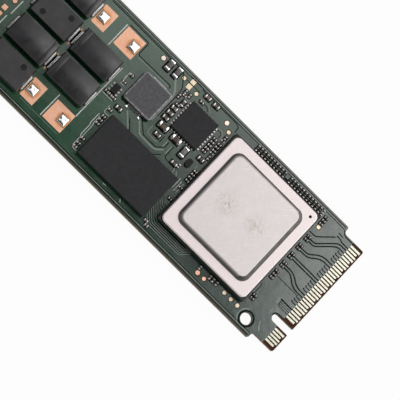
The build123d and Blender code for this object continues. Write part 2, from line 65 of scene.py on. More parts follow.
# Dark lines on the mask: gaps in the copper under it, and painted shade on the sides of copper edges that
# face away from the light, as (width, corner radius, points) in millimetres.
GAP_AND_SHADE_LINES = [
    (0.16, 0.5, [(4.0, 10.1), (18.2, 10.1), (18.6, 9.7), (19.8, 8.2), (19.95, 7.4), (19.95, 2.7)]),
    (0.16, 0.4, [(19.5, 10.35), (22.0, 10.35), (22.3, 10.1), (29.0, 10.15), (29.5, 9.9), (29.6, 9.0)]),
    (0.16, 0.4, [(8.2, 9.4), (11.8, 9.4), (11.95, 9.2), (11.95, 7.3), (12.2, 7.1), (18.3, 7.2), (18.5, 6.8)]),
    (0.12, 0.2, [(19.5, 9.55), (22.0, 9.55)]),
    (0.16, 0.3, [(18.45, 1.0), (20.1, -0.45), (20.35, -0.7), (22.8, -0.7), (23.75, 0.15), (23.75, 1.1)]),
    (0.16, 0.3, [(24.68, 1.2), (24.7, -0.6), (24.95, -0.9), (25.7, -0.92)]),
    (0.14, 0.2, [(24.1, -0.95), (23.1, -1.9)]),
    (0.16, 0.2, [(17.3, -0.4), (18.6, -1.75)]),
    (0.14, 0.2, [(22.7, 1.3), (22.7, 0.2)]),
    (0.22, 1.2, [(48.0, 5.70), (48.9, 5.70), (50.6, 7.4), (51.5, 8.25), (53.0, 8.25)]),
    (0.22, 1.2, [(48.0, 5.30), (49.1, 5.30), (50.9, 7.1), (51.7, 7.75), (53.0, 7.75)]),
    (0.20, 0.8, [(47.1, 6.5), (48.3, 6.5), (50.5, 8.6)]),
    (0.22, 1.2, [(48.0, 3.85), (49.2, 3.85), (50.9, 5.25), (53.0, 5.25)]),
    (0.22, 1.2, [(48.0, 3.45), (49.5, 3.45), (51.1, 4.75), (53.0, 4.75)]),
    (0.22, 0.3, [(48.0, 2.2), (53.0, 2.2)]),
    (0.22, 0.3, [(48.0, 1.75), (53.0, 1.75)]),
    (0.22, 1.2, [(48.0, 0.4), (49.6, 0.4), (51.2, -0.75), (53.0, -0.75)]),
    (0.22, 1.2, [(48.0, 0.0), (49.3, 0.0), (50.9, -1.25), (53.0, -1.25)]),
    (0.12, 0.3, [(48.1, -1.55), (52.0, -1.55)]),
    (0.22, 0.3, [(50.8, 10.25), (51.4, 9.65), (53.0, 9.65)]),
    (0.16, 0.2, [(50.4, 9.35), (51.3, 9.3)]),
    (0.20, 0.3, [(50.5, 8.85), (51.2, 8.85), (51.6, 8.65), (53.0, 8.65)]),
    (0.24, 0.4, [(50.75, -3.55), (53.0, -3.6)]),
    (0.14, 0.3, [(51.05, -3.6), (50.95, -4.0), (51.15, -4.55)]),
    (0.09, 0.3, [(51.1, -3.92), (53.0, -3.92)]),
    (0.09, 0.3, [(51.1, -4.22), (53.0, -4.22)]),
    (0.11, 0.3, [(51.1, -4.55), (53.0, -4.55)]),
    (0.14, 0.3, [(47.15, -3.9), (47.35, -4.3), (47.35, -6.6)]),
    (0.22, 0.5, [(53.0, -5.42), (51.9, -5.42), (51.45, -5.62), (51.36, -6.1)]),
    # A painted shadow along the foot of the chip row beside the controller.
    (0.40, 0.1, [(33.2, 9.42), (46.6, 9.42)]),
    (0.12, 0.3, [(22.6, 8.8), (24.2, 8.8), (24.8, 8.3)]),
    (0.12, 0.3, [(27.35, 7.55), (28.15, 7.55), (28.4, 7.3), (28.4, 6.7)]),
    # Painted shade in the gaps between the pads of the two columns of large capacitors.
    (0.30, 0.1, [(3.75, 1.3), (3.75, 3.65)]),
    (0.30, 0.1, [(3.75, -3.65), (3.75, -1.3)]),
]
STUB_YS = [7.25, 6.75, 6.25, 5.75, 4.25, 3.75, 3.25, 2.75, 1.25, 0.75, 0.25, -0.25, -1.75, -2.25, -2.75]
STUB_X = 52.05
STUB_HOOK = [(0.15, 0.22), (0.0, 0.1), (0.2, 0.0)]
STUB_WIDTH = 0.17
STUB_RADIUS = 0.15

# Copper under the mask, a little paler than bare mask, drawn much paler as a painted highlight where its
# edges face the light.
TRACK_AND_HIGHLIGHT_LINES = [
    (0.34, 0.6, [(17.9, 8.75), (19.35, 7.05), (19.65, 6.3), (19.7, 1.7)]),
    (0.14, 0.3, [(20.42, 1.25), (20.42, 0.2), (20.7, -0.08), (22.4, -0.08)]),
    (0.28, 0.4, [(18.3, 0.7), (19.75, -0.92), (20.2, -1.08), (22.9, -1.08), (23.9, -0.15)]),
    (0.22, 0.2, [(23.48, 1.2), (23.48, 0.05)]),
    (0.22, 0.2, [(24.45, 1.15), (24.45, -0.4)]),
    (0.28, 0.2, [(16.3, 0.2), (18.2, -1.7)]),
    (0.18, 0.3, [(25.0, 2.6), (25.18, 2.2), (25.18, 1.3)]),
    (0.18, 0.2, [(26.85, -0.95), (27.05, -1.55)]),
    (0.20, 0.2, [(27.3, -1.1), (27.75, -1.55)]),
    (0.20, 0.3, [(27.35, 7.2), (27.35, 7.72), (28.3, 7.77), (28.68, 7.2), (28.68, 6.7)]),
    (0.18, 0.2, [(21.3, 5.68), (21.64, 5.25), (21.64, 4.85)]),
    (0.16, 0.2, [(21.35, 7.62), (21.75, 7.25)]),
    (0.14, 0.3, [(22.6, 9.0), (24.4, 9.0), (25.2, 8.3)]),
    (0.14, 0.3, [(28.6, 2.0), (29.0, 1.6), (29.0, 0.9)]),
    (0.14, 0.2, [(27.2, 3.1), (27.9, 2.5)]),
    (0.14, 0.3, [(12.2, 6.85), (18.0, 6.9)]),
    (0.06, 0.3, [(4.2, 9.75), (17.9, 9.75)]),
    (0.06, 0.3, [(4.2, -9.45), (11.6, -9.45)]),
    (0.26, 0.3, [(50.55, -3.5), (50.5, -4.5)]),
    (0.24, 0.4, [(50.7, -7.9), (51.0, -8.6), (51.5, -9.2)]),
    (0.16, 0.3, [(50.85, -5.3), (50.8, -6.3)]),
]
FAN_START_X = 28.4
FAN_START_YS = [-5.2, -5.65, -6.1, -6.55, -7.0, -7.45, -7.9, -8.35]
FAN_ROW_YS = [None, None, None, -8.32, -8.62, -8.92, -9.22, -9.52]
FAN_GAP_SHIFT = 0.15
FAN_DIVE_X = 29.7
FAN_DIVE_RUN = 0.5
FAN_TURN_X = 35.6
FAN_END_X = 36.9
FAN_WIDTH = 0.11
FAN_RADIUS = 0.3

# The dark etched gaps between the contact fingers.
CONTACT_GAP = 0.27
CONTACT_GAP_INSET = 0.02
CONTACT_GAP_SINK = 0.004
CONTACT_GAP_HEIGHT = 0.008

# The bare rim of the board and the copper edges beside it, as (width, distance from the middle).
RIM_X = (-54.4, 50.7)
RIM_LINES = {
    "rim": (0.30, 10.84),
    "gap": (0.13, 10.65),
    "edge": (0.13, 10.49),
    "inner_gap": (0.12, 10.32),
}

# A painted shadow ring and a painted highlight arc round the tooling hole, as (radius, width, first angle,
# last angle).
HOLE_PLACE = (49.0, -9.2)
HOLE_SHADE_RING = (1.12, 0.36, -140, 220)
HOLE_GLINT = (1.42, 0.22, 110, 290)

# Bare copper between the columns of large capacitors.
LAND_STRIP_X = (3.62, 3.88)
LAND_STRIP_YS = [-7.425, -2.475, 2.475, 7.425]
LAND_STRIP_SPAN = (1.2, 1.6)

# The stain of flux round the solder on an empty land, as (core, reach, strength).
FLUX_FADE = (0.95, 1.3, 0.75)

# Round marks on the tops of two large capacitors.
EJECTOR_ALONG = 1.8
EJECTOR_ACROSS = 1.1
EJECTOR_DEPTH = 0.05
EJECTOR_RADIUS = 0.46
EJECTOR_FLOOR = 0.02

# The bead of solder along each end strip of a large capacitor.
BEAD_OUT = 0.08
BEAD_RISE = 0.26
BEAD_WIDTH = 0.17
THIN_BEAD_WIDTH = 0.10
BEAD_HEIGHT = 0.06
BEAD_INSET = 0.02
BEAD_MATCH = 0.01
BEAD_NEAR = 0.3

# Handling stains on the lid, as (place, reach).
LID_STAINS = [((35.6, 0.3, 2.8), 2.2), ((40.7, 0.8, 2.8), 2.0)]

# Printed marks on top of the mask.
INK_LINES = [
    (0.18, 0.1, [(7.9, 5.05), (7.9, 9.2)]),
    (0.18, 0.1, [(7.9, -5.05), (7.9, -9.2)]),
    (0.18, 0.1, [(11.65, 4.1), (11.65, -5.7)]),
    (0.18, 0.1, [(-4.95, 0.8), (-4.95, -1.75)]),
    (0.18, 0.1, [(-5.2, -2.3), (-5.2, -4.0)]),
    (0.16, 0.1, [(13.6, 4.4), (12.9, 4.4), (12.9, 2.4), (13.6, 2.4)]),
    (0.13, 0.2, [(13.75, -3.0), (13.75, -4.8), (13.9, -5.1), (13.9, -6.9), (14.1, -7.3), (14.1, -8.9),
                 (14.35, -9.2), (15.1, -9.2)]),
    (0.11, 0.2, [(14.1, -3.2), (14.1, -4.6), (14.25, -4.95), (14.25, -6.9), (14.4, -7.2)]),
    (0.09, 0.2, [(14.05, -1.1), (14.05, -2.2), (14.2, -2.35), (15.0, -2.35)]),
    (0.09, 0.2, [(12.0, -0.38), (13.8, -0.38)]),
    (0.12, 0.1, [(28.49, -1.4), (28.49, -3.2)]),
    (0.12, 0.1, [(28.91, -1.6), (28.91, -3.4)]),
    (0.12, 0.1, [(29.36, -1.7), (29.36, -3.4)]),
    (0.12, 0.2, [(20.9, -9.8), (21.5, -9.8)]),
    (0.12, 0.2, [(24.2, -9.7), (24.6, -10.1)]),
]

# Small chips that only the scene has: the middle, and whether the chip lies along X.
LOOSE_CHIPS = [
    (20.75, 7.55, True),
    (29.2, 6.75, True),
    (29.2, 4.35, True),
    (27.05, -0.35, False),
    (46.7, 9.92, False),
]
LOOSE_CHIP = (0.6, 0.3, 0.3)
LOOSE_CAP = 0.16
LOOSE_INSET = 0.02
LOOSE_BODY_BEVEL = 0.03
LOOSE_CAP_BEVEL = 0.04

# The lower row of half-length chips beside the controller: their places, and the ends of cap and body.
LOWER_ROW_XS = [33.5 + 0.6 * step for step in range(10)] + [40.1 + 0.6 * step for step in range(12)]
LOWER_ROW_YS = (9.26, 9.4, 9.58)

# Dusty residue on the mask where chips are dense: (place, core, reach, strength).
RESIDUE = [
    ((21.0, 6.0, MASK_TOP), 1.2, 2.8, 0.85),
    ((28.7, 5.4, MASK_TOP), 1.0, 2.8, 0.75),
    ((27.5, 0.6, MASK_TOP), 0.6, 2.0, 0.4),
]

# Each kind of chip: the reach of its solder skirts and mask openings, the bevels of bodies and end caps.
CHIP_KINDS = {
    "small_chip": (0.06, 0.17, 0.03, 0.04),
    "medium_chip": (0.07, 0.20, 0.04, 0.05),
    "controller_row_chip": (0.04, 0.14, 0.03, 0.04),
    "lane_capacitor": (0.04, 0.15, 0.03, 0.04),
    "power_capacitor": (0.08, 0.24, 0.05, 0.06),
}

# The section of a solder skirt: its lip, shares of its reach and of the cap's height, and its top.
SKIRT_LIP = 0.004
SKIRT_CURVE = [(0.45, 0.14), (0.15, 0.36)]
SKIRT_TOP = 0.62
SKIRT_GAP = 0.01

# The height of a mask opening's floor, and the share of its margin that the corners lose.
OPENING_HEIGHT = 0.003
OPENING_CUT = 0.6

# The form of a solder pillow over a square that runs from -1 to 1.
PILLOW_STEPS = 16
PILLOW_POWER = 6
PILLOW_FILL = 0.75
PILLOW_TILT = 0.1
SLUMP_DEPTH = 0.3
SLUMP_PLACE = (-0.8, -0.1)
SLUMP_SPREAD = 0.05
RIPPLE_HEIGHT = 0.03

# Solder on the empty lands, and the thin flux round it.
LAND_PINCH = 0.06
LAND_LIFT = 0.008
FLUX_SHARE = 1.12
FLUX_HEIGHT = 0.01
FLUX_LIFT = 0.001

# Solder at the near terminal of the inductor: how far out it sits, and its half width, height and pinch.
TERMINAL_SOLDER_OUT = 0.1
TERMINAL_SOLDER = (0.26, 0.24, 0.1)

# The toe of solder at each lead of the power chip.
TOE_OUT = 0.10
TOE_GAP = 0.02
TOE_WIDTH = 0.28
TOE_HEIGHT = 0.22

# Places where a finish changes: bare test pads, grey and dusty chips, the joint of the chip rows. The last
# value is the width of a sharp change.
BARE_PADS_X = -1.5
BARE_PADS_Y = -9.1
GREY_CHIPS_X = 25.2
DUSTY_CHIPS_Y = 7.5
ROW_JOINT_Y = 9.92
SHARP = 0.1

# The mask turns from green to grey about this X, over this width.
MASK_DRIFT = (26.0, 24.0)

# The heights at which the lid's step leaves the flange and reaches the plateau; the step's painted shade lies
# between them.
LID_STEP_Z = 2.315
LID_CROWN_Z = 2.735

# Noise mostly lies between these values.
NOISE_LOW = 0.3
NOISE_HIGH = 0.7

# The numbers of the large capacitors, the two flat-topped ones, and how CAD edges are rounded.
TANTALUMS = range(1, 7)
FLAT_TANTALUMS = (2, 4)
WELD_METRES = 1e-6
FLAT_DEGREES = 1.0
BEVEL_DEGREES = 25.0
BEVEL_SEGMENTS = 3

# The camera as fitted to the photograph.
CAMERA_LENS = 277.95
CAMERA_SENSOR = 36.0
CAMERA_CLIP_METRES = (0.01, 20.0)
CAMERA_PLACE = (-11.24, -108.03, 423.8)
CAMERA_RIGHT = (0.7063, 0.6657, 0.2407)
CAMERA_AHEAD = (0.1000, 0.2427, -0.9649)

# Lamps in metres. Ceiling: left, right, front, back, radiance. Side: place, width, height, radiance.
CEILING_HEIGHT = 0.424
CEILING_LAMPS = {
    "glare": (0.106, 0.32, 0.088, 0.32, 2.75),
    "veil": (-0.10, 0.106, 0.106, 0.32, 1.22),
}
SIDE_LAMP = ((0.96, 0.54, 0.70), 2.55, 1.7, 1.0)

# The world's light by the upward part of a direction: (part, brightness).
HORIZON = (0.5, 0.62)
ZENITH = (0.85, 0.055)

# The floor, its reach in metres, and how much of it the camera and mirrors see as pure white.
FLOOR_REACH = 4.0
FLOOR_DROP = 0.05
FLOOR_GREY = 0.9
FLOOR_WHITE = 0.95


def rounded(points, radius):
    """The points of a bent line with each corner turned into an arc."""
    line = [Vector(p) for p in points]
    out = [line[0]]
    for before, corner, after in zip(line, line[1:], line[2:]):
        inward = before - corner
        outward = after - corner
        reach = min(radius, CORNER_SHARE * inward.length, CORNER_SHARE * outward.length)
        start = corner + inward.normalized() * reach
        end = corner + outward.normalized() * reach
        for step in range(CORNER_STEPS + 1):
            t = step / CORNER_STEPS
            out.append((1 - t) ** 2 * start + 2 * t * (1 - t) * corner + t * t * end)
    out.append(line[-1])
    return out


def add_ribbon(mesh, points, width, base, height):
    """A low bar with sloped shoulders that follows the points."""
    profile = [(0.5, -SINK), (RIBBON_CROWN, height), (-RIBBON_CROWN, height), (-0.5, -SINK)]
    rows = []
    last = len(points) - 1
    for index, point in enumerate(points):
        along = (points[min(index + 1, last)] - points[max(index - 1, 0)]).normalized()
        side = Vector((-along.y, along.x))
        row = []
        for across, lift in profile:
            spot = point + side * across * width
            row.append(mesh.verts.new((spot.x * MM, spot.y * MM, (base + lift) * MM)))
        rows.append(row)
    for first, second in zip(rows, rows[1:]):
        for a, b in ((0, 1), (1, 2), (2, 3), (3, 0)):
            mesh.faces.new((first[a], second[a], second[b], first[b]))
    mesh.faces.new(rows[0])
    mesh.faces.new(rows[-1][::-1])


def add_stack(mesh, layers):
    """A closed solid through outlines of equal length, each with its height, from the foot up."""
    rings = []
    for outline, z in layers:
        rings.append([mesh.verts.new((x * MM, y * MM, z * MM)) for x, y in outline])
    count = len(rings[0])
    for first, second in zip(rings, rings[1:]):
        for index in range(count):
            following = (index + 1) % count
            mesh.faces.new((first[index], first[following], second[following], second[index]))
    mesh.faces.new(rings[0][::-1])
    mesh.faces.new(rings[-1])


def box_outline(low, high, out=0.0):
    """The four corners of a box seen from above, moved outwards."""
    left, right = low[0] - out, high[0] + out
    front, back = low[1] - out, high[1] + out
    return [(left, front), (right, front), (right, back), (left, back)]


def add_block(mesh, low, high):
    outline = box_outline(low, high)
    add_stack(mesh, [(outline, low[2]), (outline, high[2])])


def add_disc(mesh, x, y, radius, base, top):
    turns = [2 * math.pi * step / ARC_STEPS for step in range(ARC_STEPS)]
    outline = [(x + radius * math.cos(a), y + radius * math.sin(a)) for a in turns]
    add_stack(mesh, [(outline, base), (outline, top)])


def finish_piece(name, mesh, look, smooth=False):
    """Turns a bmesh into a piece that rides on the board."""
    bmesh.ops.recalc_face_normals(mesh, faces=mesh.faces)
    data = bpy.data.meshes.new(name)
    mesh.to_mesh(data)
    mesh.free()
    piece = bpy.data.objects.new(name, data)
    bpy.context.scene.collection.objects.link(piece)
    data.materials.append(LOOKS[look])
    for face in data.polygons:
        face.use_smooth = smooth
    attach(piece, "root")
    return piece


def lines_piece(name, lines, look, height):
    """One piece of low bars on the mask, from (width, corner radius, points)."""
    mesh = bmesh.new()
    for width, radius, points in lines:
        add_ribbon(mesh, rounded(points, radius), width, MASK_TOP, height)
    finish_piece(name, mesh, look)


def islands(piece):
    """The box of each separate solid in a CAD piece, in millimetres."""
    mesh = bmesh.new()
    mesh.from_mesh(piece.data)
    bmesh.ops.remove_doubles(mesh, verts=mesh.verts, dist=WELD_METRES)
    unseen = set(mesh.verts)
    boxes = []
    while unseen:
        stack = [unseen.pop()]
        found = []
        while stack:
            vert = stack.pop()
            found.append(vert.co / MM)
            for edge in vert.link_edges:
                other = edge.other_vert(vert)
                if other in unseen:
                    unseen.discard(other)
                    stack.append(other)
        low = Vector(min(p[i] for p in found) for i in range(3))
        high = Vector(max(p[i] for p in found) for i in range(3))
        boxes.append((low, high))
    mesh.free()
    return sorted(boxes, key=lambda box: tuple(box[0]))


class Shader:
    """A principled material with the few node patterns that the finishes share."""

    def __init__(self, name, roughness, metallic=0.0, specular=0.5):
        self.material = bpy.data.materials.new(name)
        self.material.use_nodes = True
        self.tree = self.material.node_tree
        self.bsdf = self.tree.nodes["Principled BSDF"]
        self.bsdf.inputs["Roughness"].default_value = roughness
        self.bsdf.inputs["Metallic"].default_value = metallic
        self.bsdf.inputs["Specular IOR Level"].default_value = specular

    def add(self, kind, **values):
        node = self.tree.nodes.new(kind)
        for key, value in values.items():
            setattr(node, key, value)
        return node

    def link(self, source, target):
        self.tree.links.new(source, target)

    def place(self):
        return self.add("ShaderNodeTexCoord").outputs["Object"]

    def noise(self, size, detail=3.0, stretch=(1, 1, 1), turn=0.0):
        """Noise whose features are about size millimetres across, drawn out along each turned axis."""
        mapping = self.add("ShaderNodeMapping", vector_type="TEXTURE")
        mapping.inputs["Rotation"].default_value = (0, 0, turn)
        mapping.inputs["Scale"].default_value = stretch
        texture = self.add("ShaderNodeTexNoise")
        texture.inputs["Scale"].default_value = 1 / (size * MM)
        texture.inputs["Detail"].default_value = detail
        self.link(self.place(), mapping.inputs["Vector"])
        self.link(mapping.outputs["Vector"], texture.inputs["Vector"])
        return texture.outputs["Fac"]

    def ramp(self, value, stops):
        node = self.add("ShaderNodeValToRGB")
        elements = node.color_ramp.elements
        while len(elements) < len(stops):
            elements.new(0.5)
        for element, (place, colour) in zip(elements, stops):
            element.position = place
            element.color = (*colour, 1.0)
        self.link(value, node.inputs["Fac"])
        return node.outputs["Color"]

    def tones(self, value, dark, light, low=NOISE_LOW):
        """A colour that drifts between two tones as noise does."""
        return self.ramp(value, [(low, dark), (1 - low, light)])

    def mix(self, factor, first, second):
        node = self.add("ShaderNodeMix", data_type="RGBA")
        self.link(factor, node.inputs["Factor"])
        self.link(first, node.inputs["A"])
        self.link(second, node.inputs["B"])
        return node.outputs["Result"]

    def combine(self, operation, first, second):
        node = self.add("ShaderNodeMath", operation=operation)
        self.link(first, node.inputs[0])
        self.link(second, node.inputs[1])
        return node.outputs[0]

    def remap(self, value, start, end, low=0.0, high=1.0):
        """Carries start to end over to low to high, and holds at both ends."""
        node = self.add("ShaderNodeMapRange")
        node.inputs["From Min"].default_value = start
        node.inputs["From Max"].default_value = end
        node.inputs["To Min"].default_value = low
        node.inputs["To Max"].default_value = high
        self.link(value, node.inputs["Value"])
        return node.outputs["Result"]

    def above(self, value, limit, width):
        """0 below the limit and 1 above it, blended over width."""
        return self.remap(value, limit - width / 2, limit + width / 2)

    def part(self, vector, axis):
        split = self.add("ShaderNodeSeparateXYZ")
        self.link(vector, split.inputs["Vector"])
        return split.outputs[axis]

    def normal_part(self, axis):
        return self.part(self.add("ShaderNodeNewGeometry").outputs["Normal"], axis)

    def beyond(self, axis, limit, width):
        """0 before a place on an axis and 1 past it, in millimetres."""
        return self.above(self.part(self.place(), axis), limit * MM, width * MM)

    def patch(self, place, core, reach, strength):
        """A spot round a place that fades out between its core and its reach, in millimetres."""
        away = self.add("ShaderNodeVectorMath", operation="DISTANCE")
        away.inputs[1].default_value = Vector(place) * MM
        self.link(self.place(), away.inputs[0])
        return self.remap(away.outputs["Value"], core * MM, reach * MM, strength, 0.0)

    def colour(self, source):
        self.link(source, self.bsdf.inputs["Base Color"])

    def rough(self, value, low, high):
        """Roughness that drifts between low and high as noise does."""
        self.link(self.remap(value, NOISE_LOW, NOISE_HIGH, low, high), self.bsdf.inputs["Roughness"])

    def bump(self, height, depth, strength=1.0, under=None):
        node = self.add("ShaderNodeBump")
        node.inputs["Strength"].default_value = strength
        node.inputs["Distance"].default_value = depth * MM
        self.link(height, node.inputs["Height"])
        if under:
            self.link(under, node.inputs["Normal"])
        self.link(node.outputs["Normal"], self.bsdf.inputs["Normal"])
        return node.outputs["Normal"]

    def dome(self):
        """A height that falls away from the middle of a piece's box."""
        coords = self.add("ShaderNodeTexCoord")
        centred = self.add("ShaderNodeVectorMath", operation="SUBTRACT")
        centred.inputs[1].default_value = (0.5, 0.5, 0.5)
        square = self.add("ShaderNodeVectorMath", operation="DOT_PRODUCT")
        fall = self.add("ShaderNodeMath", operation="SUBTRACT")
        fall.inputs[0].default_value = 1.0
        self.link(coords.outputs["Generated"], centred.inputs[0])
        self.link(centred.outputs["Vector"], square.inputs[0])
        self.link(centred.outputs["Vector"], square.inputs[1])
        self.link(square.outputs["Value"], fall.inputs[1])
        return fall.outputs[0]


def grained(name, dark, light, size, roughness, metallic, grain, depth, specular=0.5):
    """A finish whose colour drifts between two tones over a fine grain."""
    shader = Shader(name, roughness, metallic, specular)
    shader.colour(shader.tones(shader.noise(size), dark, light))
    shader.rough(shader.noise(size * 0.6), roughness - 0.06, roughness + 0.06)
    shader.bump(shader.noise(grain), depth, 0.5)
    return shader.material


def edged_finish(name, dark, light, edge, size, roughness, grain, depth, turn, rise):
    """A moulded finish, crowned by rise, with a painted highlight on the edges where it turns down, and
    painted shade on the upright sides.
    """
    shader = Shader(name, roughness)
    upright = shader.normal_part("Z")
    drift = shader.noise(size)
    flat = shader.tones(drift, dark, light)
    # The edge tone is a painted highlight on edges that turn down.
    wear_and_highlight = shader.tones(drift, light, edge)
    # Painted shade on the upright sides.
    side_shade = shader.tones(drift, Vector(dark) * 0.3, Vector(dark) * 0.55)
    turned = shader.mix(shader.above(upright, turn, 0.2), side_shade, wear_and_highlight)
    shader.colour(shader.mix(shader.above(upright, 0.97, 0.04), turned, flat))
    shader.rough(shader.noise(size * 0.6), roughness - 0.08, roughness + 0.06)
    crown = shader.bump(shader.dome(), rise)
    shader.bump(shader.noise(grain, 4.0), depth, 0.5, crown)
    return shader.material


def mask_finish():
    """Glossy mask that turns from green to grey towards the connector, dusty among the chips."""
    shader = Shader("mask_finish", 0.14)
    shader.bsdf.inputs["IOR"].default_value = 1.88
    drift = shader.noise(9.0)
    green = shader.tones(drift, (0.004, 0.053, 0.019), (0.007, 0.067, 0.026))
    grey = shader.tones(drift, (0.018, 0.042, 0.029), (0.026, 0.053, 0.038))
    colour = shader.mix(shader.beyond("X", *MASK_DRIFT), green, grey)
    dust = shader.tones(shader.noise(0.5), (0.024, 0.024, 0.019), (0.060, 0.056, 0.047))
    for spot in RESIDUE:
        colour = shader.mix(shader.patch(*spot), colour, dust)
    shader.colour(colour)
    shader.rough(shader.noise(2.5), 0.12, 0.17)
    shader.bump(shader.noise(6.0, 5.0), 0.08, 0.4)
    return shader.material


def laminate_finish():
    """Brown resin at the cut sides and the bare tip, green mask underneath."""
    shader = Shader("laminate_finish", 0.6, specular=0.15)
    layers = shader.noise(0.4, 2.0, (1, 1, 0.17))
    side = shader.tones(layers, (0.150, 0.088, 0.044), (0.230, 0.150, 0.084))
    top = shader.tones(layers, (0.050, 0.015, 0.005), (0.075, 0.025, 0.009))
    mask = shader.tones(shader.noise(9.0), (0.011, 0.050, 0.024), (0.017, 0.064, 0.033))
    cut = shader.mix(shader.above(shader.normal_part("X"), 0.3, 0.1), side, top)
    under = shader.mix(shader.beyond("X", MASK_END_X, 0.02), mask, top)
    upright = shader.normal_part("Z")
    facing_side = shader.above(upright, -0.5, 0.1)
    facing_up = shader.above(upright, 0.9, 0.1)
    shader.colour(shader.mix(facing_up, shader.mix(facing_side, under, cut), top))
    shader.rough(layers, 0.52, 0.65)
    shader.bump(shader.noise(0.15, 3.0, (1, 1, 0.25)), 0.006, 0.4)
    return shader.material


def pad_finish(name, roughness, plated, bare, rough, grain, strength):
    """Plating on the test pads, bare copper at the near edge and the far end."""
    shader = Shader(name, roughness, 1.0)
    wear = shader.noise(0.5)
    plating = shader.tones(wear, *plated)
    copper = shader.tones(wear, *bare)
    inner = shader.mix(shader.beyond("X", BARE_PADS_X, SHARP), copper, plating)
    shader.colour(shader.mix(shader.beyond("Y", BARE_PADS_Y, SHARP), copper, inner))
    shader.rough(shader.noise(0.3), *rough)
    shader.bump(shader.noise(grain), 0.003, strength)
    return shader.material


def lid_finish():
    """Plated steel with a fine crossed grain, with painted shade on the step up to the plateau, on the side
    that faces the light too.
    """
    shader = Shader("lid_finish", 0.52, 1.0)
    grain = shader.noise(0.16, 2.0, (1, 5, 1), math.radians(45))
    crossed = shader.noise(0.16, 2.0, (1, 5, 1), math.radians(-45))
    mottle = shader.noise(1.1, 5.0)
    rim = shader.tones(grain, (0.84, 0.75, 0.745), (0.915, 0.823, 0.818))
    plateau = shader.tones(grain, (0.74, 0.687, 0.682), (0.825, 0.776, 0.77))
    scuffed = shader.tones(crossed, (0.77, 0.71, 0.693), (0.855, 0.80, 0.79))
    # The painted shade of the step.
    step_shade = shader.tones(mottle, (0.10, 0.095, 0.092), (0.155, 0.148, 0.144))
    stain = shader.tones(crossed, (0.40, 0.34, 0.28), (0.56, 0.49, 0.43))
    wear_and_highlight = shader.mix(shader.above(mottle, 0.5, 0.25), plateau, scuffed)
    flecks = shader.above(shader.noise(0.12, 4.0, (1, 5, 1), math.radians(20)), 0.53, 0.12)
    for place, reach in LID_STAINS:
        spot = shader.combine("MULTIPLY", shader.patch(place, 0.0, reach, 0.8), flecks)
        wear_and_highlight = shader.mix(spot, wear_and_highlight, stain)
    # Painted shade on the step: by height on most sides, by slope on the side that faces the light.
    level = shader.above(shader.normal_part("Z"), 0.9965, 0.003)
    shaded = shader.mix(shader.beyond("Z", LID_CROWN_Z, 0.15), step_shade, wear_and_highlight)
    lit = shader.mix(level, step_shade, wear_and_highlight)
    step = shader.mix(shader.above(shader.normal_part("X"), 0.04, 0.04), shaded, lit)
    shader.colour(shader.mix(shader.beyond("Z", LID_STEP_Z, 0.02), rim, step))
    shader.rough(grain, 0.48, 0.56)
    shader.bump(crossed, 0.002, 0.3)
    return shader.material


def ceramic_finish():
    """Brown ceramic whose tone changes from chip to chip."""
    shader = Shader("ceramic_finish", 0.42)
    tones = [(0.35, (0.045, 0.032, 0.027)), (0.5, (0.10, 0.074, 0.064)), (0.65, (0.20, 0.150, 0.135))]
    shader.colour(shader.ramp(shader.noise(1.6), tones))
    shader.rough(shader.noise(0.3), 0.36, 0.5)
    shader.bump(shader.noise(0.06), 0.004, 0.4)
    return shader.material


def large_ceramic_finish():
    """Brown ceramic, and grey bodies nearest the controller and along the far edge."""
    shader = Shader("large_ceramic_finish", 0.4)
    grain = shader.noise(0.7)
    brown = shader.tones(grain, (0.055, 0.034, 0.026), (0.15, 0.095, 0.072), 0.35)
    grey = shader.tones(grain, (0.14, 0.14, 0.135), (0.19, 0.19, 0.18), 0.35)
    dusty = shader.tones(grain, (0.075, 0.066, 0.066), (0.15, 0.135, 0.133), 0.35)
    inner = shader.mix(shader.beyond("X", GREY_CHIPS_X, SHARP), brown, grey)
    shader.colour(shader.mix(shader.beyond("Y", DUSTY_CHIPS_Y, SHARP), inner, dusty))
    shader.rough(shader.noise(0.3), 0.34, 0.46)
    shader.bump(shader.noise(0.06), 0.004, 0.4)
    return shader.material


def land_finish():
    """Bare copper with an amber stain of flux round each pillow of solder."""
    shader = Shader("land_finish", 0.48, 0.6)
    wear = shader.noise(0.5)
    colour = shader.tones(wear, (0.98, 0.50, 0.31), (1.0, 0.60, 0.42))
    amber = shader.tones(wear, (0.66, 0.27, 0.08), (0.80, 0.38, 0.15))
    for low, high in islands(nodes["land_solder"]):
        middle = (low + high) / 2
        place = (middle.x, middle.y, MASK_TOP)
        colour = shader.mix(shader.patch(place, *FLUX_FADE), colour, amber)
    shader.colour(colour)
    shader.rough(shader.noise(0.3), 0.42, 0.54)
    shader.bump(shader.noise(0.08), 0.003, 0.5)
    return shader.material


def row_cap_finish():
    """Tin on the far ends of the chips beside the controller, shaded where the rows meet."""
    shader = Shader("row_cap_finish", 0.36, 1.0)
    grain = shader.noise(0.25)
    tin = shader.tones(grain, (0.50, 0.48, 0.47), (0.70, 0.68, 0.66))
    shade = shader.tones(grain, (0.10, 0.09, 0.085), (0.18, 0.16, 0.15))
    shader.colour(shader.mix(shader.beyond("Y", ROW_JOINT_Y, SHARP), shade, tin))
    shader.bump(grain, 0.004, 0.5)
    return shader.material


def rim_finish():
    """Bare board beyond the mask, dark olive on the near side and grey on the far one."""
    shader = Shader("rim_finish", 0.5)
    grain = shader.noise(0.25)
    near = shader.tones(grain, (0.020, 0.022, 0.010), (0.032, 0.034, 0.018))
    far = shader.tones(grain, (0.16, 0.158, 0.147), (0.21, 0.208, 0.195))
    shader.colour(shader.mix(shader.beyond("Y", 0.0, 1.0), near, far))
    shader.rough(shader.noise(0.15), 0.42, 0.56)
    shader.bump(shader.noise(0.1), 0.004, 0.5)
    return shader.material


